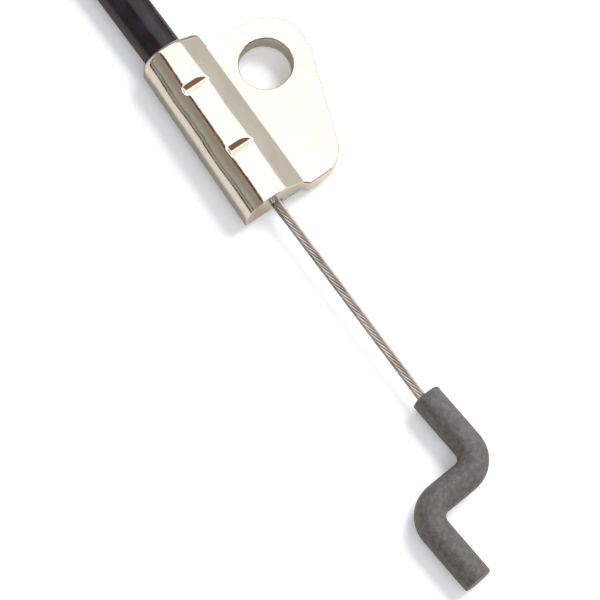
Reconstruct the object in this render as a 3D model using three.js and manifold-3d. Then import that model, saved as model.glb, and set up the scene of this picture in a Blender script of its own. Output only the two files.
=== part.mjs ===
// Brake cable, the engine end of a mower's Bowden cable with its spare length coiled.
// Millimetres, +Z up. +X runs along the inner wire towards the Z-shaped end, +Y points at the ear.
// Everything is drawn round the wire's line at y = 0, with the casting's underside at z = 0,
// and moved at the end so that the origin is on the ear's flat underside.
import * as THREE from 'three';
import { mergeVertices } from 'three/addons/utils/BufferGeometryUtils.js';
import Module from 'manifold-3d';

const wasm = await Module();
wasm.setup();

// Shared clearances
const FIT = 0.25; // between pieces that slide into each other or are seated in one another
const FACE = 0.3; // between faces that meet end to end

// Conduit, from the outside in, and the strand inside it
const CONDUIT_RADIUS = 2.5;
const JACKET_WALL = 0.5;
const ARMOUR_WALL = 0.45;
const LINER_WALL = 0.2;
const WIRE_RADIUS = 0.6;
const ARMOUR_RADIUS = CONDUIT_RADIUS - JACKET_WALL - FIT;
const LINER_BORE = WIRE_RADIUS + FIT;
const LINER_RADIUS = LINER_BORE + LINER_WALL;
const ROUND_SIDES = 16;

// Line of the wire, the conduit and the slide, above the casting's underside
const AXIS_Z = 0.9;
// The conduit lies in an open channel and stands out below the casting, down to the ground
const GROUND_Z = AXIS_Z - CONDUIT_RADIUS;
// Place of the origin on the ear's underside
const DATUM_X = 4;
const DATUM_Y = 8;

// Barrel of the cast fitting, an arch over the conduit
const BARREL_BACK = -11.8;
const BARREL_FRONT = 10.75;
const BARREL_HEIGHT = 4.7;
const BARREL_LEFT = { back: 3.5, front: 4.4 };
const LEFT_CROWN_RADIUS = 2.8;
const RIGHT_CROWN_RADIUS = 3.3;
const RIGHT_CROWN_Y = { back: 0.3, front: -0.1 };
const CREASE_Y = { back: 4.4, front: 3.9 };
const SHOULDER_RADIUS = 1.3;
const FRONT_EDGE_RADIUS = 0.3;
const CHANNEL_END_X = 6.0;

// Fixing ear beside the barrel
const EAR_THICKNESS = 2.6;
const EAR_EDGE_RADIUS = 0.3;
const EAR_BACK = -9.5;
const EAR_FRONT = 11.4;
const EAR_ROUND = 5.8;
const EAR_SLANT = THREE.MathUtils.degToRad(-20.8);
const EAR_CORNER = 3.5;
const EAR_STEP_Y = 3.7;
const HOLE_RADIUS = 3.175;
const HOLE_X = EAR_BACK + EAR_ROUND;
const HOLE_Y = 8.7;

// Two stakes punched across the barrel, which grip the conduit
const STAKES = [-5.7, 3.4];
const STAKE_LENGTH = 1.2;
const STAKE_WIDTH = 3.4;
const STAKE_DEPTH = 0.85;

// Z-shaped end cast on the wire
const Z_RADIUS = 1.85;
const Z_TURN = THREE.MathUtils.degToRad(4.2);
const Z_START = new THREE.Vector2(39.47, 0.39);
const Z_LEG = 10.2;
const Z_STEP = 9.5;
const Z_BEND = 2.7;
const Z_CHAMFER = 0.3;

// Travel of the inner wire, and how deep it stays in the conduit
const WIRE_TRAVEL = 28.3;
const WIRE_STUB = 6;

// Straight stretch of conduit behind the fitting, and the coil that it runs into
const NEAR_BACK_X = -28.2;
const COIL_OUTER_TURN = 35;
const COIL_INNER_TURN = 21.25;
const COIL_LAYERS = 2;
const COIL_OUTSIDE = COIL_OUTER_TURN + CONDUIT_RADIUS;
const COIL_CLEAR = Math.sqrt(
  (COIL_OUTSIDE + FACE) ** 2 - (COIL_OUTER_TURN - CONDUIT_RADIUS) ** 2);
const COIL_X = NEAR_BACK_X - COIL_CLEAR;
const COIL_Y = COIL_OUTER_TURN;
const COIL_CORNER = 2.2;

// Far end, beside the coil and parallel to the fitting
const FAR_Y = COIL_Y + COIL_OUTER_TURN;
const FAR_START_X = NEAR_BACK_X;
const FAR_LENGTH = 46;
const FERRULE_WALL = 0.5;
const FERRULE_LENGTH = 11;
const FERRULE_FLOOR = 1.2;
const NIPPLE_RADIUS = 2.5;
const NIPPLE_LENGTH = 7;
const FAR_END_X = FAR_START_X + FAR_LENGTH;
const FERRULE_END_X = FAR_END_X + FACE + FERRULE_FLOOR;
const FERRULE_RADIUS = CONDUIT_RADIUS + FIT + FERRULE_WALL;
const FAR_Z = GROUND_Z + FERRULE_RADIUS + 0.05;

// Boolean helpers
function solidOf(geometry) {
  const bare = geometry.clone();
  bare.deleteAttribute('normal');
  bare.deleteAttribute('uv');
  const merged = mergeVertices(bare, 1e-4);
  return new wasm.Manifold(new wasm.Mesh({
    numProp: 3,
    vertProperties: Float32Array.from(merged.attributes.position.array),
    triVerts: Uint32Array.from(merged.index.array),
  }));
}

function geometryOf(solid) {
  const mesh = solid.getMesh();
  const geometry = new THREE.BufferGeometry();
  geometry.setAttribute('position', new THREE.BufferAttribute(mesh.vertProperties, 3));
  geometry.setIndex(new THREE.BufferAttribute(mesh.triVerts, 1));
  return flatShaded(geometry);
}

function flatShaded(geometry) {
  const flat = geometry.index ? geometry.toNonIndexed() : geometry;
  flat.computeVertexNormals();
  return flat;
}

// A closed skin over rings of points that all have the same count
function loft(given) {
  const ahead = given[1][0].clone().sub(given[0][0]);
  const turned = ringNormal(given[0]).dot(ahead) < 0;
  const rings = turned ? given.map((ring) => [...ring].reverse()) : given;
  const count = rings[0].length;
  const positions = rings.flat().flatMap((p) => [p.x, p.y, p.z]);
  const index = [];
  for (let r = 0; r + 1 < rings.length; r += 1) {
    for (let i = 0; i < count; i += 1) {
      const a = r * count + i;
      const b = r * count + ((i + 1) % count);
      index.push(a, b, b + count, a, b + count, a + count);
    }
  }
  const last = (rings.length - 1) * count;
  for (const [a, b, c] of capOf(rings[0])) {
    index.push(c, b, a);
    index.push(last + a, last + b, last + c);
  }
  const geometry = new THREE.BufferGeometry();
  geometry.setAttribute('position', new THREE.Float32BufferAttribute(positions, 3));
  geometry.setIndex(index);
  return geometry;
}

function ringNormal(ring) {
  const origin = ring[0];
  const normal = new THREE.Vector3();
  for (let i = 1; i + 1 < ring.length; i += 1) {
    const a = ring[i].clone().sub(origin);
    const b = ring[i + 1].clone().sub(origin);
    normal.add(a.cross(b));
  }
  return normal.normalize();
}

// Triangles over one ring, in the ring's own plane
function capOf(ring) {
  const origin = ring[0];
  const normal = ringNormal(ring);
  const across = ring[1].clone().sub(origin).normalize();
  const up = normal.clone().cross(across);
  const flat = ring.map((p) => {
    const q = p.clone().sub(origin);
    return new THREE.Vector2(q.dot(across), q.dot(up));
  });
  return THREE.ShapeUtils.triangulateShape(flat, []);
}

function arc(cx, cy, radius, from, to, steps) {
  const points = [];
  for (let i = 0; i <= steps; i += 1) {
    const angle = from + ((to - from) * i) / steps;
    points.push(new THREE.Vector2(cx + radius * Math.cos(angle), cy + radius * Math.sin(angle)));
  }
  return points;
}

// A hollow or full round bar along X, turned about its own line
function roundBar(x0, x1, outer, inner, y, z, sides = ROUND_SIDES) {
  const profile = [[inner, x0], [outer, x0], [outer, x1], [inner, x1]];
  if (inner > 0) {
    profile.push([inner, x0]);
  }
  const geometry = new THREE.LatheGeometry(profile.map(([r, h]) => new THREE.Vector2(r, h)), sides);
  geometry.rotateZ(-Math.PI / 2);
  geometry.translate(0, y, z);
  return geometry;
}

// Cross-section of the barrel: near-upright left side, round crown, fillet down to the ear
function barrelSection(x, left, crownY, crease, inset) {
  const height = BARREL_HEIGHT - inset;
  const side = left - inset;
  const leftTop = LEFT_CROWN_RADIUS - inset;
  const rightTop = RIGHT_CROWN_RADIUS - inset;
  const foot = new THREE.Vector2(crease - inset, EAR_THICKNESS - 0.02);
  const points = [
    new THREE.Vector2(-side, 0),
    ...arc(-side + leftTop, height - leftTop, leftTop, Math.PI, Math.PI / 2, 8),
    ...arc(crownY, height - rightTop, rightTop, Math.PI / 2, Math.PI * 0.14, 8),
  ];
  const shoulder = points[points.length - 1];
  const bend = new THREE.Vector2(foot.x - 0.7, foot.y + 0.1);
  const blend = new THREE.QuadraticBezierCurve(shoulder, bend, foot);
  points.push(...blend.getPoints(4).slice(1));
  points.push(new THREE.Vector2(foot.x, 0));
  return points.map((p) => new THREE.Vector3(x, p.x, p.y));
}

function barrelBlank() {
  const length = BARREL_FRONT - BARREL_BACK;
  const at = (x, inset) => {
    const t = (x - BARREL_BACK) / length;
    const mix = (pair) => THREE.MathUtils.lerp(pair.back, pair.front, t);
    return barrelSection(x, mix(BARREL_LEFT), mix(RIGHT_CROWN_Y), mix(CREASE_Y), inset);
  };
  const rings = [];
  const roundSteps = 4;
  for (let i = 0; i <= roundSteps; i += 1) {
    const angle = (Math.PI / 2) * (i / roundSteps);
    const x = BARREL_BACK + SHOULDER_RADIUS * (1 - Math.sin(angle));
    rings.unshift(at(x, 0.6 * SHOULDER_RADIUS * (1 - Math.cos(angle))));
  }
  rings.reverse();
  rings.push(at(0, 0));
  rings.push(at(BARREL_FRONT - FRONT_EDGE_RADIUS, 0));
  rings.push(at(BARREL_FRONT, FRONT_EDGE_RADIUS * 0.6));
  rings.sort((a, b) => a[0].x - b[0].x);
  return loft(rings);
}

// Outline of the ear: round about the hole, slanting side, rounded far corner
function earOutline() {
  const lean = Math.PI / 2 + EAR_SLANT;
  const topX = HOLE_X + EAR_ROUND * Math.cos(lean);
  const topY = HOLE_Y + EAR_ROUND * Math.sin(lean);
  const slope = Math.tan(EAR_SLANT);
  const cornerX = EAR_FRONT - EAR_CORNER;
  const edgeY = topY + slope * (cornerX - topX);
  const cornerY = edgeY - EAR_CORNER / Math.cos(EAR_SLANT);
  return [
    new THREE.Vector2(EAR_BACK, 3.2),
    new THREE.Vector2(BARREL_FRONT - 1, 3.2),
    new THREE.Vector2(EAR_FRONT - 0.5, EAR_STEP_Y),
    new THREE.Vector2(EAR_FRONT, EAR_STEP_Y + 0.6),
    ...arc(cornerX, cornerY, EAR_CORNER, 0, lean, 7),
    ...arc(HOLE_X, HOLE_Y, EAR_ROUND, lean, Math.PI, 14),
  ];
}

function ear() {
  const bevel = EAR_EDGE_RADIUS;
  const geometry = new THREE.ExtrudeGeometry(new THREE.Shape(earOutline()), {
    depth: EAR_THICKNESS - bevel,
    bevelEnabled: true,
    bevelThickness: bevel,
    bevelSize: bevel,
    bevelOffset: -bevel,
    bevelSegments: 2,
  });
  const block = new THREE.BoxGeometry(60, 60, 2);
  block.translate(0, 0, -1);
  return solidOf(geometry).subtract(solidOf(block));
}

// An arch-shaped tunnel along X that is open at the bottom
function archTool(x0, x1, radius, steps) {
  const outline = [
    new THREE.Vector2(-radius, -1),
    new THREE.Vector2(radius, -1),
    ...arc(0, AXIS_Z, radius, 0, Math.PI, steps),
  ];
  return loft([x0, x1].map((x) => outline.map((p) => new THREE.Vector3(x, p.x, p.y))));
}

// One punched stake: a V-shaped groove across the crown
function stake(x) {
  const top = BARREL_HEIGHT + 0.5;
  const foot = BARREL_HEIGHT - STAKE_DEPTH;
  const half = STAKE_LENGTH / 2;
  const profile = [[-half - 0.35, top], [-half, BARREL_HEIGHT - 0.1], [-half * 0.25, foot],
    [half * 0.5, foot], [half, BARREL_HEIGHT - 0.1], [half + 0.35, top]];
  const rings = [-STAKE_WIDTH / 2, STAKE_WIDTH / 2].map(
    (y) => profile.map(([dx, z]) => new THREE.Vector3(x + dx, y, z)));
  return loft(rings);
}

function fitting() {
  const channel = archTool(BARREL_BACK - 1, CHANNEL_END_X, CONDUIT_RADIUS + FIT, 16);
  const wireNotch = archTool(CHANNEL_END_X - 1, BARREL_FRONT + 1, WIRE_RADIUS + FIT, 10);
  const hole = new THREE.CylinderGeometry(HOLE_RADIUS, HOLE_RADIUS, 3 * EAR_THICKNESS, 40);
  hole.rotateX(Math.PI / 2);
  hole.translate(HOLE_X, HOLE_Y, EAR_THICKNESS / 2);
  let body = solidOf(barrelBlank()).add(ear());
  for (const tool of [channel, wireNotch, hole, ...STAKES.map(stake)]) {
    body = body.subtract(solidOf(tool));
  }
  return geometryOf(body);
}

// Centreline of the Z-shaped end as stations with a heading, drawn flat
function zStations() {
  const stations = [];
  let heading = Z_TURN;
  const here = Z_START.clone();
  const push = () => stations.push({ x: here.x, y: here.y, heading });
  const run = (length) => {
    here.x += length * Math.cos(heading);
    here.y += length * Math.sin(heading);
  };
  const turn = (by, steps) => {
    const side = Math.sign(by);
    for (let i = 0; i < steps; i += 1) {
      const step = by / steps;
      const cx = here.x - side * Z_BEND * Math.sin(heading);
      const cy = here.y + side * Z_BEND * Math.cos(heading);
      heading += step;
      here.x = cx + side * Z_BEND * Math.sin(heading);
      here.y = cy - side * Z_BEND * Math.cos(heading);
      push();
    }
  };
  push();
  run(Z_CHAMFER);
  push();
  run(Z_LEG - Z_CHAMFER - Z_BEND);
  push();
  turn(-Math.PI / 2, 7);
  run(Z_STEP - 2 * Z_BEND);
  push();
  turn(Math.PI / 2, 7);
  run(Z_LEG - Z_CHAMFER - Z_BEND);
  push();
  run(Z_CHAMFER);
  push();
  return stations;
}

function zEnd() {
  const stations = zStations();
  const rings = stations.map((s, i) => {
    const atEnd = i === 0 || i === stations.length - 1;
    const radius = atEnd ? Z_RADIUS - Z_CHAMFER : Z_RADIUS;
    return arc(0, 0, radius, 0, 2 * Math.PI, 20).slice(0, -1).map((p) => new THREE.Vector3(
      s.x - p.x * Math.sin(s.heading), s.y + p.x * Math.cos(s.heading), AXIS_Z + p.y));
  });
  return flatShaded(loft(rings));
}

// Outer and inner radius of each layer of the conduit
const LAYERS = {
  jacket: [CONDUIT_RADIUS, CONDUIT_RADIUS - JACKET_WALL],
  armour: [ARMOUR_RADIUS, ARMOUR_RADIUS - ARMOUR_WALL],
  liner: [LINER_RADIUS, LINER_BORE],
};

function layer(name, x0, x1, y, z) {
  const [outer, inner] = LAYERS[name];
  return flatShaded(roundBar(x0, x1, outer, inner, y, z));
}

// All turns of the coil as one ring
function coil() {
  const inside = COIL_INNER_TURN - CONDUIT_RADIUS;
  const height = 2 * CONDUIT_RADIUS * COIL_LAYERS;
  const c = COIL_CORNER;
  const profile = [
    ...arc(COIL_OUTSIDE - c, c, c, -Math.PI / 2, 0, 3),
    ...arc(COIL_OUTSIDE - c, height - c, c, 0, Math.PI / 2, 3),
    ...arc(inside + c, height - c, c, Math.PI / 2, Math.PI, 3),
    ...arc(inside + c, c, c, Math.PI, 1.5 * Math.PI, 3),
  ];
  profile.push(profile[0].clone());
  const geometry = new THREE.LatheGeometry(profile, 48);
  geometry.rotateX(Math.PI / 2);
  geometry.translate(COIL_X, COIL_Y, GROUND_Z);
  return flatShaded(geometry);
}

function ferrule() {
  const bore = CONDUIT_RADIUS + FIT;
  const start = FERRULE_END_X - FERRULE_LENGTH;
  const profile = [[bore, start], [FERRULE_RADIUS, start], [FERRULE_RADIUS, FERRULE_END_X],
    [LINER_BORE, FERRULE_END_X], [LINER_BORE, FERRULE_END_X - FERRULE_FLOOR],
    [bore, FERRULE_END_X - FERRULE_FLOOR], [bore, start]];
  const geometry = new THREE.LatheGeometry(profile.map(([r, h]) => new THREE.Vector2(r, h)), 20);
  geometry.rotateZ(-Math.PI / 2);
  geometry.translate(0, FAR_Y, FAR_Z);
  return flatShaded(geometry);
}

function material(colour, metalness, roughness) {
  return new THREE.MeshStandardMaterial({ color: colour, metalness, roughness });
}

const model = new THREE.Group();
model.name = 'brake_cable';

function place(name, geometry, look) {
  geometry.translate(-DATUM_X, -DATUM_Y, 0);
  const mesh = new THREE.Mesh(geometry, look);
  mesh.name = name;
  model.add(mesh);
}

// Fitting and the straight conduit in it
const seatX = CHANNEL_END_X - FACE;
place('conduit_fitting', fitting(), material(0xd9d7cf, 0.9, 0.25));
place('near_jacket', layer('jacket', NEAR_BACK_X, seatX, 0, AXIS_Z), material(0x0d0c10, 0, 0.45));
place('near_armour', layer('armour', NEAR_BACK_X, seatX, 0, AXIS_Z), material(0x9a9a9a, 0.9, 0.4));
place('near_liner', layer('liner', NEAR_BACK_X, seatX, 0, AXIS_Z), material(0xe6e3da, 0, 0.5));

// Sliding inner wire with its Z-shaped end
const wireFront = Z_START.x - Z_RADIUS * Math.sin(Z_TURN) - FACE;
place('near_wire',
  flatShaded(roundBar(BARREL_FRONT - WIRE_STUB, wireFront, WIRE_RADIUS, 0, 0, AXIS_Z, 14)),
  material(0x8d8584, 0.9, 0.35));
place('z_end', zEnd(), material(0x4a4845, 0.7, 0.5));

// Spare length
place('conduit_coil', coil(), material(0x0d0c10, 0, 0.45));

// Far end of the conduit and of the inner wire
place('far_jacket', layer('jacket', FAR_START_X, FAR_END_X, FAR_Y, FAR_Z), material(0x0d0c10, 0, 0.45));
place('far_armour', layer('armour', FAR_START_X, FAR_END_X, FAR_Y, FAR_Z), material(0x9a9a9a, 0.9, 0.4));
place('far_liner', layer('liner', FAR_START_X, FAR_END_X, FAR_Y, FAR_Z), material(0xe6e3da, 0, 0.5));
place('far_ferrule', ferrule(), material(0xb9bbbd, 0.9, 0.35));
const nippleX = FERRULE_END_X + FACE;
place('far_wire',
  flatShaded(roundBar(FERRULE_END_X - WIRE_STUB - WIRE_TRAVEL, nippleX - FACE / 2, WIRE_RADIUS, 0,
    FAR_Y, FAR_Z, 14)),
  material(0x8d8584, 0.9, 0.35));
place('far_nipple',
  flatShaded(roundBar(nippleX, nippleX + NIPPLE_LENGTH, NIPPLE_RADIUS, 0, FAR_Y, FAR_Z, 24)),
  material(0x8f8d88, 0.9, 0.35));

export default model;
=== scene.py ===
"""The engine end of a mower's brake cable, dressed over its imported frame.

The casting lies over the conduit as an open arch, the inner wire runs out of its front end to a
Z-shaped end, and the spare conduit lies coiled outside the picture with its far end beside it.
All sizes are in metres, in the row frame: +X runs along the wire, +Z is up and the origin is on
the flat underside of the casting's ear.
"""

import logging
import math
from dataclasses import dataclass
from enum import Enum
from typing import Callable, Iterable, Sequence

import bmesh
import bpy
from mathutils import Matrix, Vector


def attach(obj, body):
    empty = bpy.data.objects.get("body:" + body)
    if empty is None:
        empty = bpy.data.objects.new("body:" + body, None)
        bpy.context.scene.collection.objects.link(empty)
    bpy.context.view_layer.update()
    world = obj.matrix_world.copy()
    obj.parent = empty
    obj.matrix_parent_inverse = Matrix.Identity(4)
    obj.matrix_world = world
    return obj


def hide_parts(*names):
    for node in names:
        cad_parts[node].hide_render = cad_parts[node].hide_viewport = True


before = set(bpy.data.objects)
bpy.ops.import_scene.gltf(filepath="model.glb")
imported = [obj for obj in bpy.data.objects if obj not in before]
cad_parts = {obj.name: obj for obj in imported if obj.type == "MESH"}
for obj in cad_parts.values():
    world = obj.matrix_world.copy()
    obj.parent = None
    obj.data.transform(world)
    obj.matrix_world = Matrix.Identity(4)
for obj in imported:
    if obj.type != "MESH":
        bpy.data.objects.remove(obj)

LOG = logging.getLogger("brake_cable")
MM = 0.001

# Shared lines of the model, as in the part's own source
DATUM_X = -4 * MM
DATUM_Y = -8 * MM
CONDUIT_RADIUS = 2.5 * MM
WIRE_RADIUS = 0.6 * MM
AXIS_Z = 0.9 * MM
GROUND_Z = AXIS_Z - CONDUIT_RADIUS
FIT = 0.25 * MM
BARREL_BACK = -11.8 * MM
BARREL_FRONT = 10.75 * MM
CHANNEL_END = 6.0 * MM
FACE_GAP = 0.3 * MM
FERRULE_FLOOR = 1.2 * MM
TRAVEL = 28.3 * MM
# How far a strand reaches back out of sight
HIDDEN_RUN = 6 * MM
# Points nearer than this are one point
SAME = 1e-6

# The photograph is this many pixels wide, and the camera's sensor this many millimetres
PICTURE_WIDTH = 600
SENSOR_WIDTH = 36.0


class Body(Enum):
    """The bodies of the frame that pieces ride on."""

    SHEATH = "sheath"
    NEAR_WIRE = "inner_wire"
    FAR_WIRE = "far_inner_wire"


def at(x: float, y: float, z: float) -> Vector:
    """A point of the row frame from one that is measured from the wire's line.

    Args:
        x: Distance along the wire, in metres.
        y: Distance from the wire's line towards the ear.
        z: Height above the casting's underside.

    Returns:
        The same point in the row frame.
    """
    return Vector((x + DATUM_X, y + DATUM_Y, z))


class Bench:
    """One piece on the bench, shaped in edit mode as by hand."""

    def __init__(self, name: str) -> None:
        """Takes the primitive that was just added.

        Args:
            name: The piece's plain name.
        """
        self.obj = bpy.context.active_object
        self.obj.name = name
        self.obj.data.name = name
        bpy.ops.object.transform_apply(location=True, rotation=True, scale=True)
        bpy.ops.object.mode_set(mode="EDIT")
        bpy.ops.mesh.select_mode(type="VERT")

    @staticmethod
    def clear() -> None:
        """Leaves edit mode and deselects everything."""
        if bpy.context.mode != "OBJECT":
            bpy.ops.object.mode_set(mode="OBJECT")
        bpy.ops.object.select_all(action="DESELECT")

    @classmethod
    def reopen(cls, obj: bpy.types.Object) -> "Bench":
        """Takes a piece that was done back into edit mode.

        Args:
            obj: The piece.

        Returns:
            The same piece, in edit mode.
        """
        cls.clear()
        bpy.context.view_layer.objects.active = obj
        obj.select_set(True)
        return cls(obj.name)

    @classmethod
    def ring(cls, name: str, centre: Vector, radius: float, sides: int, turn: Matrix) -> "Bench":
        """A bare circle, open and without a face.

        Args:
            name: The piece's name.
            centre: Middle of the circle.
            radius: Its radius.
            sides: Number of its corners.
            turn: Rotation of its normal from +Z.

        Returns:
            The circle, in edit mode with all of it selected.
        """
        cls.clear()
        bpy.ops.mesh.primitive_circle_add(
            vertices=sides, radius=radius, location=centre, rotation=turn.to_euler()
        )
        bench = cls(name)
        bpy.ops.mesh.select_all(action="SELECT")
        return bench

    @classmethod
    def outline(cls, name: str, corners: Sequence[Vector], close: bool = True) -> "Bench":
        """A drawn outline: one corner, extruded from each corner to the next.

        Args:
            name: The piece's name.
            corners: The outline's corners, in order.
            close: True to fill it with a face.

        Returns:
            The outline, in edit mode with all of it selected.
        """
        cls.clear()
        bpy.ops.mesh.primitive_plane_add(size=MM, location=corners[0])
        bench = cls(name)
        bpy.ops.mesh.select_all(action="SELECT")
        bpy.ops.mesh.merge(type="CENTER")
        bpy.ops.mesh.select_all(action="SELECT")
        for here, there in zip(corners, corners[1:]):
            bpy.ops.mesh.extrude_region_move(
                TRANSFORM_OT_translate={"value": tuple(there - here)}
            )
        bpy.ops.mesh.select_all(action="SELECT")
        if close:
            bpy.ops.mesh.edge_face_add()
        return bench

    def pick(self, kind: str, test: Callable[[Vector], bool]) -> None:
        """Selects by place.

        Args:
            kind: VERT or EDGE.
            test: Says of a place whether it is wanted; an edge's place is its middle.
        """
        bpy.ops.mesh.select_mode(type=kind)
        bpy.ops.mesh.select_all(action="DESELECT")
        mesh = bmesh.from_edit_mesh(self.obj.data)
        if kind == "VERT":
            for vert in mesh.verts:
                if test(vert.co):
                    vert.select = True
        else:
            for edge in mesh.edges:
                if test((edge.verts[0].co + edge.verts[1].co) / 2):
                    edge.select_set(True)
        mesh.select_flush_mode()
        bmesh.update_edit_mesh(self.obj.data)

    def round_corner(self, corner: Vector, radius: float, turn: float, segments: int) -> None:
        """Rounds one corner of a flat outline.

        Args:
            corner: Where the corner is.
            radius: Radius of the arc.
            turn: How far the outline turns at the corner, in radians.
            segments: Pieces of the arc.
        """
        self.pick("VERT", lambda p: (p - corner).length < SAME)
        bpy.ops.mesh.bevel(
            offset=radius * math.tan(turn / 2), segments=segments, profile=0.5, affect="VERTICES"
        )

    def extrude(self, move: Sequence[float]) -> None:
        """Extrudes all of the piece by a move.

        Args:
            move: The move, in metres.
        """
        bpy.ops.mesh.select_all(action="SELECT")
        bpy.ops.mesh.extrude_region_move(TRANSFORM_OT_translate={"value": tuple(move)})
        self.outward()

    def spin_whole(self, centre: Vector, steps: int) -> None:
        """Turns a drawn profile all the way round a line along X.

        Args:
            centre: A point of the line.
            steps: Number of steps in the turn.
        """
        bpy.ops.mesh.select_all(action="SELECT")
        bpy.ops.mesh.spin(steps=steps, angle=2 * math.pi, center=centre, axis=(1, 0, 0))
        bpy.ops.mesh.select_all(action="SELECT")
        bpy.ops.mesh.remove_doubles(threshold=SAME)
        self.outward()

    @staticmethod
    def outward() -> None:
        """Turns every face's normal outward."""
        bpy.ops.mesh.select_all(action="SELECT")
        bpy.ops.mesh.normals_make_consistent(inside=False)

    def done(self, smooth: float | None = None) -> bpy.types.Object:
        """Leaves edit mode.

        Args:
            smooth: Angle in degrees under which edges are shaded smooth, or None for flat faces.

        Returns:
            The finished object.
        """
        bpy.ops.object.mode_set(mode="OBJECT")
        self.obj.select_set(True)
        if smooth is not None:
            bpy.ops.object.shade_smooth_by_angle(angle=math.radians(smooth))
        return self.obj


def apply_modifier(obj: bpy.types.Object, kind: str, **settings: object) -> None:
    """Adds a modifier, sets it and applies it.

    Args:
        obj: The piece that it works on.
        kind: The modifier's type.
        **settings: Values of its properties.
    """
    Bench.clear()
    bpy.context.view_layer.objects.active = obj
    obj.select_set(True)
    modifier = obj.modifiers.new(kind.title(), kind)
    for key, value in settings.items():
        setattr(modifier, key, value)
    bpy.ops.object.modifier_apply(modifier=modifier.name)


def combine(obj: bpy.types.Object, tool: bpy.types.Object, operation: str) -> None:
    """Joins a piece with a tool or cuts it, and throws the tool away.

    Args:
        obj: The piece that is kept.
        tool: The closed solid that works on it.
        operation: UNION or DIFFERENCE.
    """
    apply_modifier(obj, "BOOLEAN", object=tool, operation=operation, solver="EXACT")
    bpy.data.objects.remove(tool, do_unlink=True)


class NodeKit:
    """Places the nodes of one tree and joins them.

    Attributes:
        MIX_FACTOR: Place of the colour mixer's factor among its inputs.
        MIX_COLOURS: Places of its two colours.
        MIX_RESULT: Place of the mixed colour among its outputs.
    """

    MIX_FACTOR = 0
    MIX_COLOURS = (6, 7)
    MIX_RESULT = 2

    def __init__(self, tree: bpy.types.NodeTree) -> None:
        """Starts with an empty tree.

        Args:
            tree: The tree of a material, a world or a node group.
        """
        self.tree = tree
        tree.nodes.clear()

    def add(self, kind: str, sockets: dict | None = None, **settings: object) -> bpy.types.Node:
        """Adds a node.

        Args:
            kind: The node's type.
            sockets: Values or other nodes' outputs for its inputs, by name or number.
            **settings: Values of its properties.

        Returns:
            The node.
        """
        node = self.tree.nodes.new(kind)
        for key, value in settings.items():
            setattr(node, key, value)
        for key, value in (sockets or {}).items():
            socket = node.inputs[key]
            if isinstance(value, bpy.types.NodeSocket):
                self.tree.links.new(value, socket)
            else:
                socket.default_value = value
        return node

    def sum(self, operation: str, *values: object) -> bpy.types.NodeSocket:
        """A sum of numbers or outputs.

        Args:
            operation: The Math node's operation.
            *values: Its inputs.

        Returns:
            The result's socket.
        """
        node = self.add("ShaderNodeMath", dict(enumerate(values)), operation=operation)
        return node.outputs[0]

    def stretch(
        self, value: bpy.types.NodeSocket, low: float, high: float, start: float, end: float
    ) -> bpy.types.NodeSocket:
        """Maps one range of a value onto another and keeps it within that.

        Args:
            value: The value.
            low: The value that becomes start.
            high: The value that becomes end.
            start: Result at the low value.
            end: Result at the high value.

        Returns:
            The result's socket.
        """
        node = self.add("ShaderNodeMapRange", {
            "Value": value, "From Min": low, "From Max": high, "To Min": start, "To Max": end})
        return node.outputs[0]

    def ramp(
        self, value: bpy.types.NodeSocket, stops: Sequence[tuple[float, tuple]]
    ) -> bpy.types.NodeSocket:
        """Colours along a value, in eased steps.

        Args:
            value: The value, from 0 to 1.
            stops: Place and colour of each stop.

        Returns:
            The colour's socket.
        """
        node = self.add("ShaderNodeValToRGB", {0: value})
        node.color_ramp.interpolation = "EASE"
        elements = node.color_ramp.elements
        while len(elements) > 1:
            elements.remove(elements[-1])
        for i, (place, colour) in enumerate(stops):
            element = elements[0] if i == 0 else elements.new(place)
            element.position = place
            element.color = (*colour, 1)
        return node.outputs[0]

    def blend(
        self, factor: bpy.types.NodeSocket, first: object, second: object
    ) -> bpy.types.NodeSocket:
        """Mixes two colours.

        Args:
            factor: How much of the second.
            first: Colour or socket.
            second: Colour or socket.

        Returns:
            The mixed colour's socket.
        """
        sockets = {self.MIX_FACTOR: factor}
        for place, value in zip(self.MIX_COLOURS, (first, second)):
            sockets[place] = (*value, 1) if isinstance(value, tuple) else value
        node = self.add("ShaderNodeMix", sockets, data_type="RGBA", blend_type="MIX")
        return node.outputs[self.MIX_RESULT]

    def either(
        self, factor: bpy.types.NodeSocket, first: bpy.types.Node, second: bpy.types.Node
    ) -> bpy.types.Node:
        """Mixes two shaders.

        Args:
            factor: How much of the second.
            first: A shader.
            second: Another shader.

        Returns:
            The mixed shader.
        """
        return self.add("ShaderNodeMixShader", {
            0: factor, 1: first.outputs[0], 2: second.outputs[0]})


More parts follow.
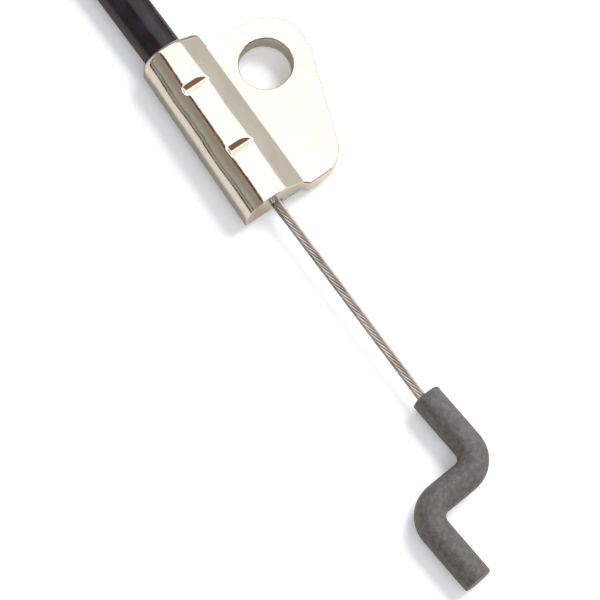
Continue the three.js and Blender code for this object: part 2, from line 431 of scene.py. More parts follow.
def noise_group() -> bpy.types.NodeTree:
    """The group that gives every finish its uneven masks.

    Returns:
        A node group with a vector and a size in, and a broad, a fine and a fleck mask out.
    """
    name = "uneven masks"
    if name in bpy.data.node_groups:
        return bpy.data.node_groups[name]
    tree = bpy.data.node_groups.new(name, "ShaderNodeTree")
    tree.interface.new_socket("Vector", in_out="INPUT", socket_type="NodeSocketVector")
    tree.interface.new_socket("Scale", in_out="INPUT", socket_type="NodeSocketFloat")
    for mask in ("Broad", "Fine", "Flecks"):
        tree.interface.new_socket(mask, in_out="OUTPUT", socket_type="NodeSocketFloat")
    kit = NodeKit(tree)
    source = kit.add("NodeGroupInput")
    place, scale = source.outputs["Vector"], source.outputs["Scale"]
    broad = kit.add("ShaderNodeTexNoise", {
        "Vector": place, "Scale": scale, "Detail": 3.0, "Roughness": 0.55})
    finer = kit.sum("MULTIPLY", scale, 9.0)
    fine = kit.add("ShaderNodeTexNoise", {
        "Vector": place, "Scale": finer, "Detail": 4.0, "Roughness": 0.6})
    finest = kit.sum("MULTIPLY", finer, 1.7)
    fleck = kit.add("ShaderNodeTexNoise", {"Vector": place, "Scale": finest, "Detail": 2.0})
    kit.add("NodeGroupOutput", {
        "Broad": broad.outputs[0], "Fine": fine.outputs[0],
        "Flecks": kit.stretch(fleck.outputs[0], 0.62, 0.72, 0.0, 1.0)})
    return tree


@dataclass(frozen=True)
class Finish:
    """A surface with uneven colour, gloss and relief.

    Attributes:
        name: The material's name.
        slot: The record's material slot that it stands for. Not used.
        light: Colour where the broad mask is high.
        dark: Colour where it is low.
        metallic: 1 for bare metal.
        roughness: Mean roughness.
        spread: How far the roughness varies.
        scale: Size of the broad mask, in features per metre.
        relief: Height of the fine relief, in metres.
        flecks: Strength of the dark flecks.
    """

    name: str
    slot: str
    light: tuple[float, float, float]
    dark: tuple[float, float, float]
    metallic: float
    roughness: float
    spread: float = 0.06
    scale: float = 260.0
    relief: float = 0.02 * MM
    flecks: float = 0.2

    def material(self) -> bpy.types.Material:
        """Makes the material, once.

        Returns:
            The material.
        """
        if self.name in bpy.data.materials:
            return bpy.data.materials[self.name]
        material = bpy.data.materials.new(self.name)
        material.use_nodes = True
        kit = NodeKit(material.node_tree)
        place = kit.add("ShaderNodeTexCoord").outputs["Object"]
        masks = kit.add("ShaderNodeGroup", node_tree=noise_group())
        kit.tree.links.new(place, masks.inputs["Vector"])
        masks.inputs["Scale"].default_value = self.scale
        rough = kit.stretch(masks.outputs["Broad"], 0.3, 0.7,
                            self.roughness - self.spread, self.roughness + self.spread)
        bump = kit.add("ShaderNodeBump", {
            "Height": self.height(kit, place, masks), "Distance": self.relief, "Strength": 1.0})
        shader = kit.add("ShaderNodeBsdfPrincipled", {
            "Base Color": self.colour(kit, masks), "Metallic": self.metallic, "Roughness": rough,
            "Normal": bump.outputs[0]})
        kit.add("ShaderNodeOutputMaterial", {"Surface": shader.outputs[0]})
        return material

    def colour(self, kit: NodeKit, masks: bpy.types.Node) -> bpy.types.NodeSocket:
        """The base colour.

        Args:
            kit: The material's nodes.
            masks: The uneven masks.

        Returns:
            The colour's socket.
        """
        base = kit.ramp(masks.outputs["Broad"], [(0.35, self.dark), (0.65, self.light)])
        amount = kit.sum("MULTIPLY", masks.outputs["Flecks"], self.flecks)
        deep = tuple(0.4 * c for c in self.dark)
        return kit.blend(amount, base, deep)

    def height(
        self, kit: NodeKit, place: bpy.types.NodeSocket, masks: bpy.types.Node
    ) -> bpy.types.NodeSocket:
        """The relief.

        Args:
            kit: The material's nodes.
            place: Object coordinates.
            masks: The uneven masks.

        Returns:
            The height's socket, from 0 to 1.
        """
        return masks.outputs["Fine"]


@dataclass(frozen=True)
class PlatedFinish(Finish):
    """A bright plating over a skin that waves as castings do.

    Attributes:
        wave_scale: Size of the waves, in features per metre.
        wave_height: How much higher they are than the fine relief.
    """

    wave_scale: float = 420.0
    wave_height: float = 3.0

    def height(
        self, kit: NodeKit, place: bpy.types.NodeSocket, masks: bpy.types.Node
    ) -> bpy.types.NodeSocket:
        """Adds slow waves to the fine relief.

        Args:
            kit: The material's nodes.
            place: Object coordinates.
            masks: The uneven masks.

        Returns:
            The height's socket.
        """
        waves = kit.add("ShaderNodeTexNoise", {
            "Vector": place, "Scale": self.wave_scale, "Detail": 1.5, "Roughness": 0.5})
        tall = kit.sum("MULTIPLY", waves.outputs[0], self.wave_height)
        return kit.sum("ADD", tall, masks.outputs["Fine"])


class Look:
    """The finishes of the cable."""

    PLATED = PlatedFinish("plated casting", "plated_casting", (0.84, 0.82, 0.77),
                          (0.81, 0.785, 0.72), 1.0, 0.10, spread=0.02, scale=170,
                          relief=0.01 * MM, flecks=0.06)
    JACKET = Finish("conduit jacket", "conduit_jacket", (0.013, 0.009, 0.015),
                    (0.004, 0.003, 0.005), 0.0, 0.24, spread=0.04, scale=320)
    ARMOUR = Finish("armour steel", "armour_steel", (0.42, 0.42, 0.42), (0.30, 0.30, 0.30), 1.0,
                    0.38)
    LINER = Finish("liner plastic", "liner", (0.78, 0.76, 0.70), (0.72, 0.69, 0.62), 0.0, 0.42)
    STRAND = Finish("wire strand", "strand", (0.76, 0.72, 0.71), (0.60, 0.56, 0.55), 1.0, 0.34,
                    spread=0.08, scale=500, relief=0.01 * MM, flecks=0.25)
    DULL = Finish("dull casting", "dull_casting", (0.20, 0.197, 0.205), (0.14, 0.136, 0.142),
                  0.7, 0.40, scale=1700, relief=0.07 * MM, flecks=0.4)
    FERRULE = Finish("ferrule steel", "ferrule_steel", (0.56, 0.565, 0.57), (0.47, 0.475, 0.48),
                     1.0, 0.3)
    NIPPLE = Finish("nipple steel", "nipple_steel", (0.47, 0.455, 0.43), (0.36, 0.35, 0.33), 1.0,
                    0.36)


def wear(obj: bpy.types.Object, finish: Finish) -> None:
    """Gives a piece its finish.

    Args:
        obj: The piece.
        finish: Its finish.
    """
    obj.data.materials.clear()
    obj.data.materials.append(finish.material())


@dataclass(frozen=True)
class Eye:
    """The camera, fitted to the photograph.

    Attributes:
        place: Where it stands.
        ahead: Where it looks.
        roll: Turn about its own line, in radians, from the row frame's +Y upwards.
        focal: Focal length in the photograph's pixels.
    """

    place: Vector
    ahead: Vector
    roll: float
    focal: float

    def make(self) -> None:
        """Sets up the scene's camera."""
        data = bpy.data.cameras.new("photo camera")
        data.sensor_fit = "HORIZONTAL"
        data.sensor_width = SENSOR_WIDTH
        data.lens = self.focal / PICTURE_WIDTH * SENSOR_WIDTH
        data.clip_start = 0.01
        data.clip_end = 10.0
        camera = bpy.data.objects.new("photo camera", data)
        bpy.context.scene.collection.objects.link(camera)
        ahead = self.ahead.normalized()
        up = Vector((0, 1, 0))
        up = (up - up.dot(ahead) * ahead).normalized()
        right = ahead.cross(up)
        top = math.cos(self.roll) * up + math.sin(self.roll) * right
        side = ahead.cross(top)
        turned = Matrix((side, top, -ahead)).transposed()
        camera.matrix_world = Matrix.Translation(self.place) @ turned.to_4x4()
        bpy.context.scene.camera = camera


PHOTO_EYE = Eye(
    place=Vector((99.891 * MM, -103.751 * MM, 378.123 * MM)),
    ahead=Vector((-0.20677, 0.22965, -0.95106)),
    roll=math.radians(-56.093),
    focal=3424.707,
)


@dataclass
class Conduit:
    """The armoured conduit as one free cord, from the casting through its coil to the ferrule.

    Attributes:
        seat_x: Where it is seated in the casting.
        back_x: End of the straight stretch behind the casting.
        outer_turn: Radius of the coil's outermost turn.
        turns: Turns in each of the two layers.
        layer: Height between the layers.
        knots: Knots in each turn.
        soft: How gently the spiral turns from inward to outward, in turns.
        climb: Part of a turn over which it climbs to the upper layer.
        far_x: Where it ends in the ferrule.
        far_z: Height of the far end's line.
        drop: Length over which it comes down from the upper layer.
        real_length: Length of the real conduit. Not used.
    """

    seat_x: float = CHANNEL_END - FACE_GAP
    back_x: float = -28.2 * MM
    outer_turn: float = 35 * MM
    turns: float = 2.75
    layer: float = 5.0 * MM
    knots: int = 16
    soft: float = 0.08
    climb: float = 0.26
    far_x: float = 17.8 * MM
    far_z: float = GROUND_Z + CONDUIT_RADIUS + FIT + 0.55 * MM
    drop: float = 23 * MM
    real_length: float = 1.1

    @property
    def coil_x(self) -> float:
        """Middle of the coil along the wire, a hair clear of the straight stretches."""
        outside = self.outer_turn + CONDUIT_RADIUS
        clear = math.sqrt((outside + FACE_GAP) ** 2 - (self.outer_turn - CONDUIT_RADIUS) ** 2)
        return self.back_x - clear

    @property
    def far_y(self) -> float:
        """Line of the far end, from the wire's line."""
        return 2 * self.outer_turn

    @property
    def far_face_x(self) -> float:
        """Outer face of the ferrule."""
        return self.far_x + FACE_GAP + FERRULE_FLOOR

    def route(self) -> list[Vector]:
        """Points of the centreline, in the row frame.

        Returns:
            The points, from the casting to the ferrule.
        """
        lead_knots, tail_knots = 7, 16
        points = [at(x, 0, AXIS_Z)
                  for x in self._steps(self.seat_x, self.coil_x, lead_knots)[:-1]]
        pitch = 2 * CONDUIT_RADIUS
        inner = self.outer_turn - pitch * math.hypot(self.turns, self.soft)
        for i in range(int(2 * self.turns * self.knots) + 1):
            t = i / self.knots
            radius = inner + pitch * math.hypot(t - self.turns, self.soft)
            angle = -math.pi / 2 - 2 * math.pi * t
            climb = self._ease((t - self.turns + self.climb / 2) / self.climb)
            points.append(at(
                self.coil_x + radius * math.cos(angle),
                self.outer_turn + radius * math.sin(angle),
                AXIS_Z + self.layer * climb))
        top = AXIS_Z + self.layer
        for x in self._steps(self.coil_x, self.far_x, tail_knots)[1:]:
            fall = self._ease((x - self.coil_x) / self.drop)
            points.append(at(x, self.far_y, top + (self.far_z - top) * fall))
        return points

    @staticmethod
    def _steps(start: float, end: float, count: int) -> list[float]:
        """Evenly spaced numbers.

        Args:
            start: First number.
            end: Last number.
            count: Number of steps between them.

        Returns:
            count + 1 numbers.
        """
        return [start + (end - start) * i / count for i in range(count + 1)]

    @staticmethod
    def _ease(t: float) -> float:
        """A smooth step from 0 to 1.

        Args:
            t: Progress, which may lie outside 0 to 1.

        Returns:
            The eased progress.
        """
        t = min(max(t, 0.0), 1.0)
        return t * t * (3 - 2 * t)

    def make(self, on_it: Sequence[bpy.types.Object]) -> bpy.types.Object:
        """Args:
            on_it: The pieces that sit on its far end. Not used.

        Returns:
            The conduit's curve.
        """
        points = self.route()
        Bench.clear()
        bpy.ops.curve.primitive_bezier_curve_add(location=(0, 0, 0))
        curve = bpy.context.active_object
        curve.name = "conduit"
        data = curve.data
        data.name = "conduit"
        data.dimensions = "3D"
        data.twist_mode = "MINIMUM"
        spline = data.splines[0]
        spline.bezier_points.add(len(points) - len(spline.bezier_points))
        for knot, point in zip(spline.bezier_points, points):
            knot.co = point
            knot.handle_left_type = "AUTO"
            knot.handle_right_type = "AUTO"
        spline.resolution_u = 4
        data.bevel_depth = CONDUIT_RADIUS
        data.bevel_resolution = 7
        data.use_fill_caps = True
        length = sum((b - a).length for a, b in zip(points, points[1:]))
        LOG.info("conduit length %.4f m", length)
        wear(curve, Look.JACKET)
        # The casting's flank would mirror the coil, which the photograph's doesn't
        curve.visible_glossy = False
        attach(curve, Body.SHEATH.value)
        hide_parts("near_jacket", "conduit_coil", "far_jacket")
        return curve


@dataclass
class Casting:
    """The plated casting that is staked on the conduit: an arch with a flat ear.

    Attributes:
        height: Height of the crown.
        ear_height: Thickness of the ear.
        ear_back: Where the ear starts along the wire.
        ear_round: Radius of the ear about the bolt hole.
        hole_y: Middle of the bolt hole, from the wire's line.
        hole_radius: Radius of the bolt hole.
        grain: Size of the cells in which the joined solids are fused.
        stakes: Where the two stakes are along the wire.
    """

    height: float = 4.7 * MM
    ear_height: float = 2.6 * MM
    ear_back: float = -9.5 * MM
    ear_round: float = 5.8 * MM
    hole_y: float = 8.7 * MM
    hole_radius: float = 3.175 * MM
    grain: float = 0.125 * MM
    stakes: tuple[float, float] = (-5.7 * MM, 3.4 * MM)

    @property
    def hole_x(self) -> float:
        """Middle of the bolt hole along the wire, in the middle of the ear's round end."""
        return self.ear_back + self.ear_round

    def barrel(self) -> bpy.types.Object:
        """The arch, without its channel.

        Returns:
            A closed solid.
        """
        left, crease = -4.4 * MM, 3.9 * MM
        crown_round = 2.8 * MM
        slope = math.radians(34)
        # At the back end both sides lie further towards the ear, and its rim is rounded
        left_shift, right_shift = 0.9 * MM, 0.4 * MM
        rim_round = 0.9 * MM
        # A hair below the ear's top, so that the two solids fuse without a slit
        foot_z = self.ear_height - 0.02 * MM
        top_right = crease - (self.height - foot_z) / math.tan(slope)
        x = BARREL_FRONT
        corners = [at(x, left, 0), at(x, left, self.height), at(x, top_right, self.height),
                   at(x, crease, foot_z), at(x, crease, 0)]
        bench = Bench.outline("barrel", corners)
        bench.round_corner(corners[1], crown_round, math.pi / 2, 12)
        bench.round_corner(corners[2], crown_round, slope, 10)
        length = BARREL_FRONT - BARREL_BACK
        bench.extrude((-length, 0, 0))
        middle = (BARREL_FRONT + BARREL_BACK) / 2 + DATUM_X
        # The crown is flat between these two lines, so that no corner lies there
        flat_left, flat_right = DATUM_Y - 1 * MM, DATUM_Y - 0.5 * MM
        bench.pick("VERT", lambda p: p.x < middle and p.y < flat_left)
        bpy.ops.transform.translate(value=(0, left_shift, 0))
        bench.pick("VERT", lambda p: p.x < middle and p.y > flat_right)
        bpy.ops.transform.translate(value=(0, right_shift, 0))
        back, sill = BARREL_BACK + DATUM_X, 0.5 * MM
        bench.pick("EDGE", lambda p: abs(p.x - back) < SAME and p.z > sill)
        bpy.ops.mesh.bevel(offset=rim_round, segments=5, profile=0.5, affect="EDGES")
        bench.outward()
        return bench.done()

    def ear(self) -> bpy.types.Object:
        """The flat ear, rounded about the bolt hole and at its far corner.

        Returns:
            A closed solid.
        """
        back, front, inner = self.ear_back, 11.4 * MM, 3.2 * MM
        wide, small = self.ear_round, 3.5 * MM
        lean = math.radians(20.8)
        # Where the outer edge, a straight line that leans, touches the round end
        touch = Vector((self.hole_x + wide * math.sin(lean),
                        self.hole_y + wide * math.cos(lean), 0))
        slope = -math.tan(lean)
        high = at(back, touch.y + slope * (back - touch.x), 0)
        low = at(front, touch.y + slope * (front - touch.x), 0)
        # The last three corners are the small toe in which the front edge runs out to the barrel
        corners = [at(back, inner, 0), high, low, at(front, 4.3 * MM, 0),
                   at(front - 0.5 * MM, 3.7 * MM, 0), at(front - 1.5 * MM, inner, 0)]
        bench = Bench.outline("ear", corners)
        bench.round_corner(high, wide, math.pi / 2 + lean, 24)
        bench.round_corner(low, small, math.pi / 2 - lean, 14)
        bench.extrude((0, 0, self.ear_height))
        return bench.done()

    @staticmethod
    def arch(name: str, start: float, end: float, radius: float, sides: int) -> bpy.types.Object:
        """A tunnel along X with a round top, open at the bottom.

        Args:
            name: The tool's name.
            start: Where it starts along the wire.
            end: Where it ends.
            radius: Radius of its top.
            sides: Segments of each quarter of its top.

        Returns:
            A closed solid.
        """
        top = AXIS_Z + radius
        below = -1.5 * MM
        corners = [at(start, -radius, below), at(start, -radius, top), at(start, radius, top),
                   at(start, radius, below)]
        bench = Bench.outline(name, corners)
        # A hair under the radius, so that the two arcs don't meet in one point
        corner_round = radius * 0.999
        for corner in corners[1:3]:
            bench.round_corner(corner, corner_round, math.pi / 2, sides)
        bench.extrude((end - start, 0, 0))
        return bench.done()

    def dent(self, body: bpy.types.Object, x: float) -> None:
        """Sinks the skin about a stake, as the punch does.

        Args:
            body: The casting.
            x: The stake's middle along the wire.
        """
        sink, spread = 0.16 * MM, 3.2 * MM
        # The punch's footprint, and how far below the crown the skin under it is still taken
        half_x, half_y, below = 0.6 * MM, 1.5 * MM, 0.8 * MM
        middle = at(x, -1.0 * MM, self.height)
        bench = Bench.reopen(body)
        bench.pick("VERT", lambda p: abs(p.x - middle.x) < half_x
                   and abs(p.y - middle.y) < half_y and p.z > self.height - below)
        bpy.ops.transform.translate(
            value=(0, 0, -sink), use_proportional_edit=True, use_proportional_connected=True,
            proportional_edit_falloff="SMOOTH", proportional_size=spread)
        bench.done()

    def stake(self, x: float) -> bpy.types.Object:
        """The tool of one stake, a wedge punched across the crown.

        Args:
            x: Its middle along the wire.

        Returns:
            A closed solid.
        """
        half, width, depth = 0.68 * MM, 3.4 * MM, 0.55 * MM
        y = -width / 2
        # The wedge is drawn twice as high as it goes deep, so that it stands out above the crown
        rise = 2
        corners = [at(x - rise * half, y, self.height + (rise - 1) * depth),
                   at(x, y, self.height - depth),
                   at(x + rise * half, y, self.height + (rise - 1) * depth)]
        bench = Bench.outline("stake", corners)
        bench.extrude((0, width, 0))
        return bench.done()

    def make(self) -> bpy.types.Object:
        """Casts, drills and stakes the piece.

        Returns:
            The finished casting.
        """
        body = self.barrel()
        combine(body, self.ear(), "UNION")
        tools = [
            self.arch("channel", BARREL_BACK - MM, CHANNEL_END, CONDUIT_RADIUS + FIT, 12),
            self.arch("wire notch", CHANNEL_END - MM, BARREL_FRONT + MM, WIRE_RADIUS + FIT, 8),
            *(self.stake(x) for x in self.stakes),
        ]
        for tool in tools:
            combine(body, tool, "DIFFERENCE")
        Bench.clear()
        bpy.ops.mesh.primitive_cylinder_add(
            vertices=64, radius=self.hole_radius, depth=3 * self.ear_height,
            location=at(self.hole_x, self.hole_y, self.ear_height / 2))
        combine(body, Bench("hole").done(), "DIFFERENCE")
        apply_modifier(body, "REMESH", mode="VOXEL", voxel_size=self.grain, adaptivity=0.0,
                       use_smooth_shade=True)
        apply_modifier(body, "SMOOTH", factor=0.5, iterations=4)
        for x in self.stakes:
            self.dent(body, x)
        body.name = "fitting_cast"
        wear(body, Look.PLATED)
        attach(body, Body.SHEATH.value)
        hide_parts("conduit_fitting")
        return body


@dataclass
class Strand:
    """The inner wire, laid up from round wires that show on its skin.

    Attributes:
        name: The piece's name.
        start: Where it starts along its line.
        end: Where it ends.
        y: Its line, from the near wire's line.
        z: Height of its line.
        lobes: Number of wires that show.
        lay: Length of one full twist.
        stride: Length of one step of the twist.
    """

    name: str
    start: float
    end: float
    y: float
    z: float
    lobes: int = 12
    lay: float = 11 * MM
    stride: float = 0.3 * MM

    def make(self, body: Body, node: str) -> bpy.types.Object:
        """Lays the strand up.

        Args:
            body: The body that it rides on.
            node: The CAD node that it stands for.

        Returns:
            The finished strand.
        """
        centre = at(self.start, self.y, self.z)
        across = Matrix.Rotation(math.pi / 2, 3, "Y")
        bench = Bench.ring(self.name, centre, WIRE_RADIUS, 4 * self.lobes, across)
        step = 2 * math.pi / self.lobes

        def in_valley(point: Vector, half: float) -> bool:
            """Whether a corner of the ring lies between two of the wires that show.

            Args:
                point: The corner.
                half: Half of the valley's width, in radians.

            Returns:
                True in a valley.
            """
            angle = math.atan2(point.z - centre.z, point.y - centre.y) % step
            return min(angle, step - angle) < half

        # First the bottom of each valley is drawn in, and then its sides with it
        for half, size in ((0.6 * step / 4, 0.82), (1.6 * step / 4, 0.94)):
            bench.pick("VERT", lambda p: in_valley(p, half))
            bpy.ops.transform.resize(value=(1, size, size), center_override=centre)
        strand = bench.done()
        length = self.end - self.start
        pivot = bpy.data.objects.new("lay line", None)
        pivot.location = centre
        bpy.context.scene.collection.objects.link(pivot)
        bpy.context.view_layer.update()
        apply_modifier(strand, "SCREW", axis="X", object=pivot,
                       angle=-2 * math.pi * length / self.lay, screw_offset=length,
                       steps=int(length / self.stride), use_smooth_shade=True)
        bpy.data.objects.remove(pivot, do_unlink=True)
        bench = Bench.reopen(strand)
        slack, rim = 0.01 * MM, 0.06 * MM
        for end in (self.start, self.end):
            bench.pick("VERT", lambda p: abs(p.x - end - DATUM_X) < slack)
            bpy.ops.mesh.edge_face_add()
            bpy.ops.mesh.inset(thickness=rim)
        bench.outward()
        bench.done(smooth=60)
        wear(strand, Look.STRAND)
        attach(strand, body.value)
        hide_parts(node)
        return strand


@dataclass
class ZEnd:
    """The Z-shaped end that is cast on the wire.

    Attributes:
        radius: Radius of the casting.
        turn: Heading of its first leg.
        start_x: Where it starts along the wire.
        start_y: How far its line lies beside the wire's.
        leg: Length of the first and of the last leg.
        step: Distance between the legs.
        bend: Radius of the bends.
    """

    radius: float = 1.85 * MM
    turn: float = math.radians(4.2)
    start_x: float = 39.47 * MM
    start_y: float = 0.39 * MM
    leg: float = 10.2 * MM
    step: float = 9.5 * MM
    bend: float = 2.7 * MM

    def socket_x(self, depth: float) -> float:
        """Where the strand ends in it.

        Args:
            depth: How deep the strand is cast in, from the near edge of the first face.

        Returns:
            The place along the wire.
        """
        return self.start_x - self.radius * math.sin(self.turn) + depth

    def make(self) -> bpy.types.Object:
        """Draws the bar through its two bends.

        Returns:
            The finished end.
        """
        here = at(self.start_x, self.start_y, AXIS_Z)
        heading = self.turn
        facing = Matrix.Rotation(heading, 3, "Z") @ Matrix.Rotation(math.pi / 2, 3, "Y")
        bench = Bench.ring("z_end_cast", here, self.radius, 40, facing)
        first = here.copy()
        for length, bend in ((self.leg - self.bend, -1), (self.step - 2 * self.bend, 1),
                             (self.leg - self.bend, 0)):
            ahead = Vector((math.cos(heading), math.sin(heading), 0))
            bpy.ops.mesh.extrude_region_move(TRANSFORM_OT_translate={"value": tuple(length * ahead)})
            here = here + length * ahead
            if bend:
                side = Vector((-ahead.y, ahead.x, 0)) * bend
                centre = here + self.bend * side
                bpy.ops.mesh.spin(
                    steps=14, angle=-bend * math.pi / 2, center=centre, axis=(0, 0, 1))
                here = centre + self.bend * ahead
                heading += bend * math.pi / 2
        last = here.copy()
        ahead = Vector((math.cos(heading), math.sin(heading), 0))
        bpy.ops.mesh.select_all(action="SELECT")
        bpy.ops.mesh.remove_doubles(threshold=SAME)
        # Both tips face along the same line; the rim of each lies within these distances of it
        reach, slack = self.radius * 1.05, 0.05 * MM
        rim_round = 0.3 * MM
        for tip in (first, last):
            bench.pick("VERT", lambda p: (p - tip).length < reach
                       and abs((p - tip).dot(ahead)) < slack)
            bpy.ops.mesh.edge_face_add()
            bpy.ops.mesh.bevel(offset=rim_round, segments=3, profile=0.5, affect="EDGES")
        bench.outward()
        end = bench.done(smooth=35)
        wear(end, Look.DULL)
        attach(end, Body.NEAR_WIRE.value)
        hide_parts("z_end")
        return end


@dataclass
class Turned:
    """A piece turned about the far end's line from a drawn half profile.

    Attributes:
        name: The piece's name.
        node: The CAD node that it stands for.
        body: The body that it rides on.
        finish: Its finish.
        y: Its line, from the wire's line.
        z: Height of its line.
        profile: Corners of the half profile, as distance along X and radius.
    """

    name: str
    node: str
    body: Body
    finish: Finish
    y: float
    z: float
    profile: Sequence[tuple[float, float]]

    def make(self) -> bpy.types.Object:
        """Turns the piece.

        Returns:
            The finished piece.
        """
        corners = [at(x, self.y, self.z + r) for x, r in self.profile]
        bench = Bench.outline(self.name, corners, close=False)
        bench.spin_whole(at(0, self.y, self.z), 48)
        piece = bench.done(smooth=30)
        wear(piece, self.finish)
        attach(piece, self.body.value)
        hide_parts(self.node)
        return piece


def ferrule(conduit: Conduit) -> Turned:
    """The crimped ferrule on the conduit's far end.

    Args:
        conduit: The conduit that it sits on.

    Returns:
        The piece, ready to make.
    """
    wall, length = 0.5 * MM, 11 * MM
    end = conduit.far_face_x
    start = end - length
    floor = end - FERRULE_FLOOR
    bore = CONDUIT_RADIUS + FIT
    outer = bore + wall
    hole = WIRE_RADIUS + FIT
    nose, rim, edge = 0.35 * MM, 0.12 * MM, 0.1 * MM
    crimp_deep, crimp_foot, crimp_top = 0.3 * MM, 0.2 * MM, 0.55 * MM
    profile = [(start, bore + edge), (start, outer - rim), (start + rim, outer)]
    for groove in (3.0 * MM, 5.4 * MM):
        x = start + groove
        profile += [(x - crimp_top, outer), (x - crimp_foot, outer - crimp_deep),
                    (x + crimp_foot, outer - crimp_deep), (x + crimp_top, outer)]
    profile += [(end - nose, outer), (end, outer - nose), (end, hole + edge), (end - edge, hole),
                (floor, hole), (floor, bore), (start + edge, bore), (start, bore + edge)]
    return Turned("far_ferrule_turned", "far_ferrule", Body.SHEATH, Look.FERRULE, conduit.far_y,
                  conduit.far_z, profile)


def nipple(conduit: Conduit) -> Turned:
    """The nipple on the inner wire's far end.

    Args:
        conduit: The conduit whose wire it holds.

    Returns:
        The piece, ready to make.
    """
    radius, length, edge = 2.5 * MM, 7 * MM, 0.35 * MM
    start = conduit.far_face_x + FACE_GAP
    end = start + length
    profile = [(start, 0.0), (start, radius - edge), (start + edge, radius), (end - edge, radius),
               (end, radius - edge)]
    # The strand is swaged in a dished end, a little below its rim
    dish = ((0.0, 1.1 * MM), (0.3 * MM, 0.8 * MM), (0.15 * MM, 0.35 * MM), (0.1 * MM, 0.0))
    profile += [(end - depth, r) for depth, r in dish]
    return Turned("far_nipple_turned", "far_nipple", Body.FAR_WIRE, Look.NIPPLE, conduit.far_y,
                  conduit.far_z, profile)


def dress_hidden() -> None:
    """Gives the CAD nodes that stay their materials."""
    for name, finish in (("near_armour", Look.ARMOUR), ("far_armour", Look.ARMOUR),
                         ("near_liner", Look.LINER), ("far_liner", Look.LINER)):
        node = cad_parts[name]
        node.data.materials.clear()
        node.data.materials.append(finish.material())


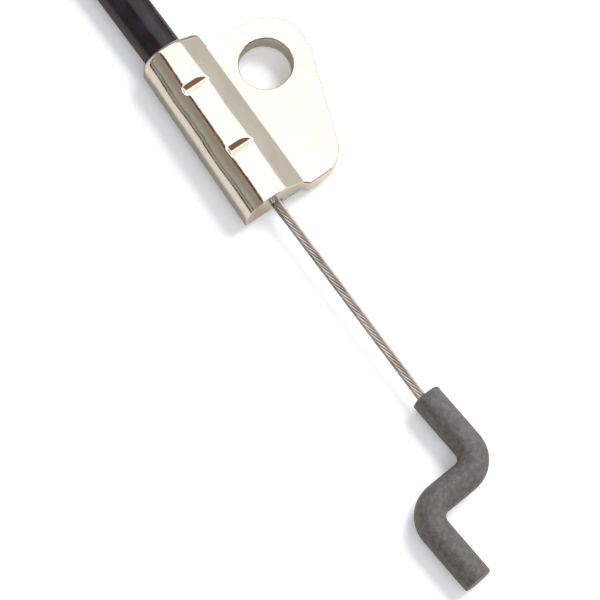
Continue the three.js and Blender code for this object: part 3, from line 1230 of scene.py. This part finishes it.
class Studio:
    """The white table, its soft light and what the metal mirrors.

    Attributes:
        AIM: The point that the lamps face.
        TABLE: Side of the table top.
        GLOW: How much the table top shines by itself in the picture, but not on the object.
        DAYLIGHT: Strength of the even light on matt surfaces.
    """

    AIM = (0.0, -0.01, 0.0)
    TABLE = 6.0
    GLOW = 0.18
    DAYLIGHT = 0.42

    @classmethod
    def floor(cls) -> None:
        """Lays the white table top, which isn't part of the object."""
        Bench.clear()
        bpy.ops.mesh.primitive_plane_add(size=cls.TABLE, location=(0, 0, GROUND_Z))
        plane = Bench("table_top").done()
        material = bpy.data.materials.new("white table")
        material.use_nodes = True
        kit = NodeKit(material.node_tree)
        path = kit.add("ShaderNodeLightPath")
        # Mirrored in the metal, the table is painted darker and warmer than it is seen: a painted
        # reflection tone where the casting mirrors the table.
        seen, mirrored = (0.85, 0.855, 0.885), (0.58, 0.53, 0.47)
        matt = kit.add("ShaderNodeBsdfDiffuse", {
            "Color": kit.blend(path.outputs["Is Glossy Ray"], seen, mirrored)})
        glow = kit.add("ShaderNodeEmission", {
            "Color": (1, 1, 1, 1),
            "Strength": kit.sum("MULTIPLY", path.outputs["Is Camera Ray"], cls.GLOW)})
        both = kit.add("ShaderNodeAddShader", {0: matt.outputs[0], 1: glow.outputs[0]})
        kit.add("ShaderNodeOutputMaterial", {"Surface": both.outputs[0]})
        plane.data.materials.append(material)

    @classmethod
    def world(cls) -> None:
        """White to the camera, even to matt surfaces and banded to mirrors."""
        world = bpy.data.worlds.new("studio")
        bpy.context.scene.world = world
        world.use_nodes = True
        kit = NodeKit(world.node_tree)
        path = kit.add("ShaderNodeLightPath")
        way = kit.add("ShaderNodeTexCoord").outputs["Generated"]
        axes = kit.add("ShaderNodeSeparateXYZ", {0: way})
        away = kit.sum("MULTIPLY", axes.outputs["Y"], -1.0)
        lean = kit.sum("ARCTAN2", away, axes.outputs["Z"])
        along = kit.add("ShaderNodeTexNoise", {
            "Vector": way, "Scale": 5.0, "Detail": 3.0, "Roughness": 0.6})
        ragged = kit.sum("MULTIPLY", kit.sum("SUBTRACT", along.outputs[0], 0.5), 0.35)
        value = kit.stretch(kit.sum("ADD", lean, ragged), -math.pi / 2, math.pi / 2, 0.0, 1.0)
        # From the ear's side over the top to the other side: the flank's warm grey, the crown's
        # white, its burnt border, the olive side with its dark lines and the dark horizon
        sky = kit.ramp(value, [
            (0.0, (0.62, 0.57, 0.51)), (0.11, (0.70, 0.66, 0.60)),
            (0.18, (1.34, 1.33, 1.28)), (0.50, (1.34, 1.34, 1.30)),
            (0.515, (0.02, 0.012, 0.008)), (0.545, (0.15, 0.075, 0.05)),
            (0.58, (0.36, 0.27, 0.21)), (0.66, (0.31, 0.28, 0.22)), (0.86, (0.42, 0.395, 0.34)),
            (0.885, (0.16, 0.145, 0.12)), (0.91, (0.38, 0.35, 0.30)),
            (0.955, (0.30, 0.27, 0.23)), (0.975, (0.02, 0.018, 0.015)),
            (1.0, (0.03, 0.028, 0.025))])
        # The stakes' walls mirror what lies ahead along the wire, which is copper brown
        ahead = kit.stretch(axes.outputs["X"], 0.45, 0.55, 0.0, 1.0)
        beside = kit.stretch(kit.sum("ABSOLUTE", axes.outputs["Y"]), 0.40, 0.50, 1.0, 0.0)
        brown = (0.27, 0.13, 0.07)
        mirrored = kit.blend(kit.sum("MULTIPLY", ahead, beside), sky, brown)
        plain = kit.add("ShaderNodeBackground", {"Color": (1, 1, 1, 1), "Strength": cls.DAYLIGHT})
        mirror = kit.add("ShaderNodeBackground", {"Color": mirrored, "Strength": 1.0})
        white = kit.add("ShaderNodeBackground", {"Color": (1, 1, 1, 1), "Strength": 1.0})
        lit = kit.either(path.outputs["Is Glossy Ray"], plain, mirror)
        seen = kit.either(path.outputs["Is Camera Ray"], lit, white)
        kit.add("ShaderNodeOutputWorld", {"Surface": seen.outputs[0]})

    @classmethod
    def lamp(cls, name: str, place: Sequence[float], size: float, power: float) -> None:
        """One soft lamp, which metal doesn't mirror.

        Args:
            name: Its name.
            place: Where it hangs.
            size: Side of its square.
            power: Its power in watts.
        """
        data = bpy.data.lights.new(name, "AREA")
        data.size = size
        data.energy = power
        lamp = bpy.data.objects.new(name, data)
        way = Vector(cls.AIM) - Vector(place)
        lamp.matrix_world = (Matrix.Translation(place)
                             @ way.to_track_quat("-Z", "Y").to_matrix().to_4x4())
        lamp.visible_glossy = False
        bpy.context.scene.collection.objects.link(lamp)

    def make(self) -> None:
        """Sets the table, the world and the lamps."""
        self.floor()
        self.world()
        self.lamp("key", (-0.05, 0.35, 0.45), 0.34, 4.2)
        self.lamp("fill", (0.3, -0.1, 0.6), 0.5, 1.6)


def main() -> None:
    """Builds the scene over the frame."""
    logging.basicConfig(level=logging.INFO)
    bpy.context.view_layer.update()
    PHOTO_EYE.make()
    conduit = Conduit()
    on_conduit = [ferrule(conduit).make(), nipple(conduit).make()]
    pieces = [*on_conduit, conduit.make(on_conduit), Casting().make()]
    z_end = ZEnd()
    cast_in, past_face = 0.9 * MM, 0.15 * MM
    near = Strand("near_strand", BARREL_FRONT - HIDDEN_RUN, z_end.socket_x(cast_in), 0.0, AXIS_Z)
    pieces.append(near.make(Body.NEAR_WIRE, "near_wire"))
    far_x = conduit.far_face_x
    far = Strand("far_strand", far_x - HIDDEN_RUN - TRAVEL, far_x + past_face, conduit.far_y,
                 conduit.far_z)
    pieces.append(far.make(Body.FAR_WIRE, "far_wire"))
    pieces.append(z_end.make())
    dress_hidden()
    Studio().make()
    bpy.context.scene.view_settings.view_transform = "Standard"
    bpy.context.view_layer.update()
    for piece in pieces:
        LOG.info("%s: %.1f x %.1f x %.1f mm", piece.name, *(side / MM for side in piece.dimensions))


if __name__ == "__main__":
    main()
